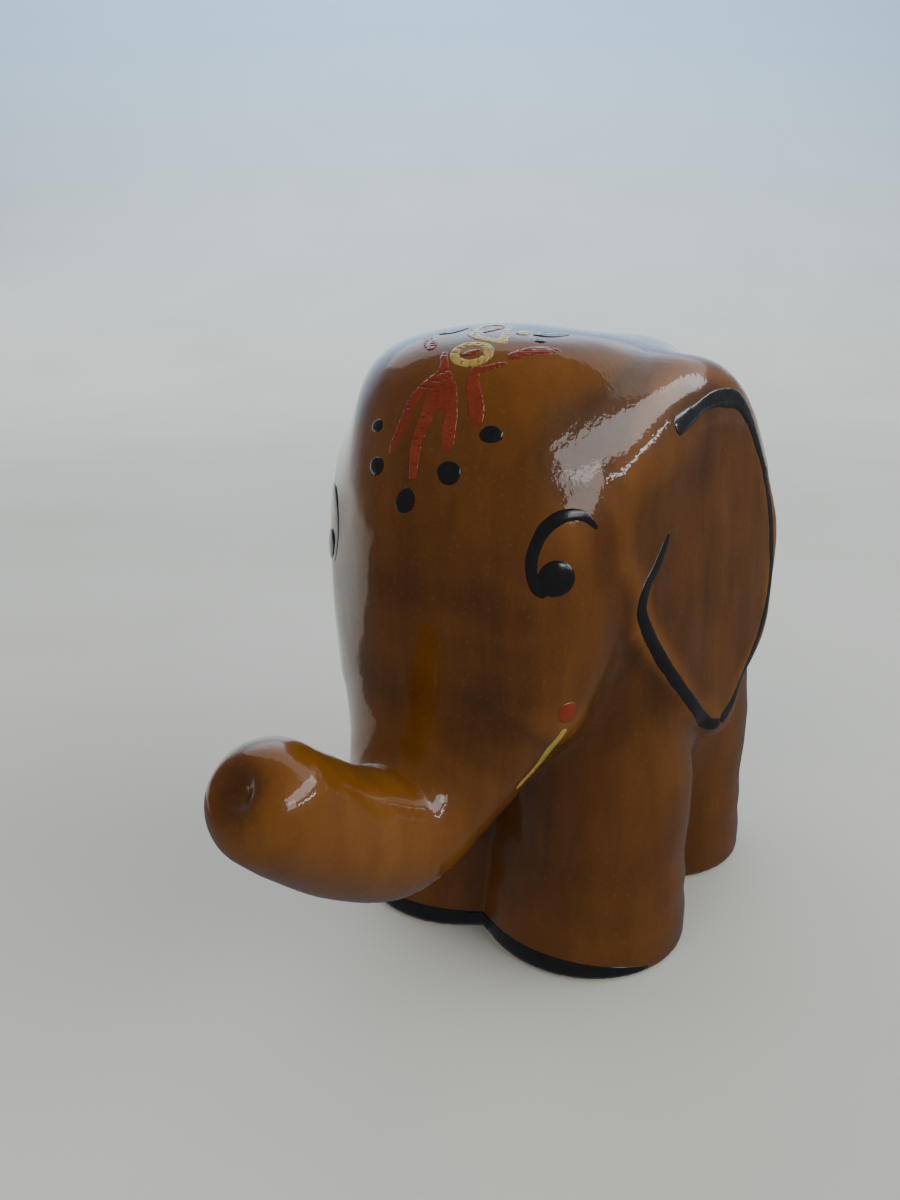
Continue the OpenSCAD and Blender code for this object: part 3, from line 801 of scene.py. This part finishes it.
LONG = [(a, b, RING_STROKE) for a, b in
        [(1.3, 0.2), (0.8, 2.4), (1.7, 3.9), (3.5, 3.2), (4.6, 0.8), (5.3, -0.7), (4.2, -0.7), (2.6, -0.5),
         (1.3, 0.2)]]
YELLOW_DOT = [(5.8, 2, 1.3), (6, 2, 1.3)]
LEAVES = [
    [(-2.6, 0.6, 0.9), (-1.4, 1, 1.4), (-0.6, 1.9, 0.8)],
    [(7.2, 2.3, 1.1), (8.1, 3, 1.6), (8.9, 4, 1.0)],
    [(8.1, 0.9, 0.9), (8.3, 0.9, 0.9)],
]
single("headdress_red_enamel", "headdress_red", [brushed(HAND + TOUCHES)], RED)
single("headdress_yellow_enamel", "headdress_yellow", [brushed([ROUND, LONG, YELLOW_DOT])],
       YELLOW)
single("headdress_black_enamel", "headdress_black", [brushed(LEAVES)], BLACK)


def toe_band():
    """A crescent of enamel round the front of a front foot, tapering at both ends, clear of the floor."""
    turn = np.radians(np.linspace(-72, 62, 40))
    foot = vec(9.6, FOOT_Y[0], 0)
    rows, cols = len(turn), 7
    tall = 2.6 * np.sin(np.linspace(0.12, np.pi - 0.12, rows)) ** 0.6
    u = np.linspace(0, 1, cols)
    pts = np.array([foot + vec(math.sin(t) * 25, -math.cos(t) * 25, 0.35 + h * k)
                    for t, h in zip(turn, tall) for k in u])
    inward = unit((foot - pts) * vec(1, 1, 0))
    p = pts
    for _ in range(60):
        p = p + outside(p)[:, None] * 0.95 * inward
    out = unit(gradient(outside, p))
    fullness = np.clip(tall / 1.4, 0.3, 1)[:, None]
    lift = (0.1 * (1 - (2 * u - 1) ** 4)[None, :] * fullness - RIM_SUNK).reshape(-1, 1)
    return solidify(p + out * lift, p - out * SUNK, rows, cols)


pair("toe_enamel", "toe_band", [toe_band()], BLACK)


# ------------------------------------------------------------------ the rubber stopper
def lathe(profile, around=96):
    """Turns (radius, z) points about the stopper's axis, with a closed end wherever the radius is 0."""
    verts, rows = [], []
    for r, z in profile:
        if r < 1e-6:
            rows.append([len(verts)])
            verts.append((0, 0, z))
            continue
        rows.append(list(range(len(verts), len(verts) + around)))
        verts += [(r * math.cos(t), r * math.sin(t), z) for t in np.arange(around) * 2 * np.pi / around]
    faces = []
    for a, b in zip(rows[:-1], rows[1:]):
        for k in range(around):
            n = (k + 1) % around
            quad = [a[k % len(a)], a[n % len(a)], b[n % len(b)], b[k % len(b)]]
            faces.append(list(dict.fromkeys(quad)))
    return np.array(verts, float), faces


def rounded(corners, steps=4):
    """Rounds each (radius, z, rounding) corner of an open profile with a short curve."""
    out = [corners[0][:2]]
    for a, b, c in zip(corners[:-2], corners[1:-1], corners[2:]):
        p, q, r = (np.array(k[:2], float) for k in (a, b, c))
        u, v = unit(p - q), unit(r - q)
        d = min(b[2], np.linalg.norm(p - q) * 0.45, np.linalg.norm(r - q) * 0.45)
        for t in np.linspace(0, 1, steps):
            out.append(tuple((q + u * d) * (1 - t) ** 2 + 2 * q * t * (1 - t) + (q + v * d) * t * t))
    return out + [corners[-1][:2]]


def build_stopper():
    """A rubber plug with a cupped top and a flange, and a groove and a dished grip below."""
    plug, lip, top = HOLE_R - STOPPER_GAP, 1.2, RECESS + FLOOR
    flange = 15.0
    cup = [(0, lip + 3.2, 0), (plug - 3.5, lip + 3.2, 0.4), (plug - 3.5, top + 1.2, 0.3),
           (plug - 1.2, top + 1.2, 0.4)]
    side = [(plug, top - 0.8, 0.4), (plug, top - 1.6, 0.1), (plug, RECESS, 0.1), (flange, RECESS, 0.25),
            (flange, lip + 0.6, 0.3)]
    groove = [(flange - 0.6, lip, 0.3), (flange - 2.0, lip, 0.2), (flange - 2.2, lip + 0.2, 0.1),
              (flange - 2.8, lip + 0.2, 0.1), (flange - 3.0, lip, 0.2)]
    grip = [(7, lip, 0.3), (6, lip + 1.2, 0.4), (0, lip + 1.2, 0)]
    verts, faces = lathe(rounded(cup + side + groove + grip))
    piece("rubber_stopper", verts, faces, RUBBER, "bung", "stopper")


build_stopper()


# ------------------------------------------------------------------ stage, camera and lights
def sweep_material():
    """Pale cloth-white paper with a painted cool daylight cast that turns it blue as it rises behind the
    elephant.
    """
    n = Nodes("pale_sweep")
    parts = n.add("ShaderNodeSeparateXYZ")
    n.link(n.where, parts.inputs[0])
    # Painted cool daylight: the white sweep is blended towards blue with height.
    painted_cool_cast = n.level(parts.outputs[2], 0.02, 0.5)
    cloud = n.noise(9, 3, 0.5)
    low = n.ramp(cloud, (0.3, srgb(200, 199, 189)), (0.7, srgb(208, 207, 198)))
    n.link(n.mix(painted_cool_cast, low, srgb(172, 203, 230)), n.shader.inputs["Base Color"])
    n.set(Roughness=0.85, Specular_IOR_Level=0.15)
    return n.mat


# Level directions away from the camera and to its right.
AWAY, ACROSS = vec(-0.535, 0.845, 0), vec(0.845, 0.535, 0)


def build_sheet(name, profile, material, sides=(-2.6, 2.6)):
    """A sheet across the line of sight, through (distance behind the elephant, height) places."""
    verts = [AWAY * a + ACROSS * x + vec(0, 0, z) for a, z in profile for x in sides]
    faces = [(2 * k, 2 * k + 1, 2 * k + 3, 2 * k + 2) for k in range(len(profile) - 1)]
    mesh = bpy.data.meshes.new(name)
    mesh.from_pydata([tuple(v) for v in verts], [], faces)
    mesh.polygons.foreach_set("use_smooth", [True] * len(faces))
    mesh.materials.append(material)
    obj = bpy.data.objects.new(name, mesh)
    bpy.context.scene.collection.objects.link(obj)
    return obj


SWEEP = sweep_material()
# Where the backdrop starts to rise, and the radius of its curve, in metres.
EDGE, RISE = 0.6, 0.8
# The room in front and to the right is dark, so the glaze only mirrors the floor behind on the left.
MIRRORED = 0.04
for dark_floor in (build_sheet("floor_near", [(-1.6, 0.0), (MIRRORED, 0.0)], SWEEP),
                   build_sheet("floor_right", [(MIRRORED, 0.0), (EDGE, 0.0)], SWEEP, (0.0, 2.6))):
    dark_floor.visible_glossy = False
build_sheet("floor_left", [(MIRRORED, 0.0), (EDGE, 0.0)], SWEEP, (-2.6, 0.0))
build_sheet("backdrop", [(EDGE + RISE * math.sin(t), RISE * (1 - math.cos(t)))
                         for t in np.linspace(0, math.pi / 2, 25)] + [(EDGE + RISE, 2.4)], SWEEP)

AIM = Vector((-0.5121, 0.8079, -0.2915))
camera = bpy.data.objects.new("camera", bpy.data.cameras.new("camera"))
bpy.context.scene.collection.objects.link(camera)
camera.data.lens = 27
camera.data.sensor_width = 36
camera.data.clip_start = 0.01
camera.location = (0.0505, -0.10979 + FORWARD * 0.001, 0.076)
camera.rotation_mode = "QUATERNION"
camera.rotation_quaternion = AIM.to_track_quat("-Z", "Y")
bpy.context.scene.camera = camera


def window(name, azimuth, elevation, distance, size, power, colour=(1, 1, 1), mirrored_in_glaze=True):
    """An area light that looks at the elephant. Azimuth is measured from +X towards +Y."""
    data = bpy.data.lights.new(name, "AREA")
    data.shape = "RECTANGLE"
    data.size, data.size_y = size
    data.energy = power
    data.color = colour
    obj = bpy.data.objects.new(name, data)
    a, e = math.radians(azimuth), math.radians(elevation)
    towards = Vector((math.cos(a) * math.cos(e), math.sin(a) * math.cos(e), math.sin(e)))
    obj.location = Vector((0, 0, 0.045)) + towards * distance
    obj.rotation_mode = "QUATERNION"
    obj.rotation_quaternion = (-towards).to_track_quat("-Z", "Y")
    obj.visible_glossy = mirrored_in_glaze
    bpy.context.scene.collection.objects.link(obj)
    return obj


window("window", 17, 27, 0.9, (1.26, 0.24), 3.0, (0.93, 0.97, 1.0))
window("window_corner", -16, 15, 0.9, (0.24, 0.19), 0.4, (0.93, 0.97, 1.0))
window("window_sill", 17, 12, 0.9, (0.7, 0.022), 0.55, (0.80, 0.90, 1.0))
window("window_fill", 15, 32, 0.9, (1.1, 0.5), 4.4, (0.95, 0.98, 1.0), False)
window("overhead", 100, 76, 1.2, (1.2, 1.2), 3.8, (0.97, 0.98, 1.0), False)
window("ceiling", 103, 50, 1.3, (3.2, 1.1), 8.5, (0.94, 0.97, 1.0))
window("front_fill", -100, 34, 1.1, (0.9, 0.7), 5.0, (1.0, 0.97, 0.92), False)
window("side_fill", 178, 24, 1.1, (0.8, 0.6), 3.0, (0.98, 0.98, 1.0), False)
backdrop_light = window("backdrop_light", 122, 55, 1.2, (2.0, 0.6), 16.0, (0.90, 0.95, 1.0), False)
backdrop_light.rotation_quaternion = Vector((-0.45, 0.71, -0.35)).to_track_quat("-Z", "Y")

world = bpy.data.worlds.new("soft_room")
world.use_nodes = True
world.node_tree.nodes["Background"].inputs[0].default_value = (0.80, 0.86, 0.94, 1)
world.node_tree.nodes["Background"].inputs[1].default_value = 0.12
bpy.context.scene.world = world
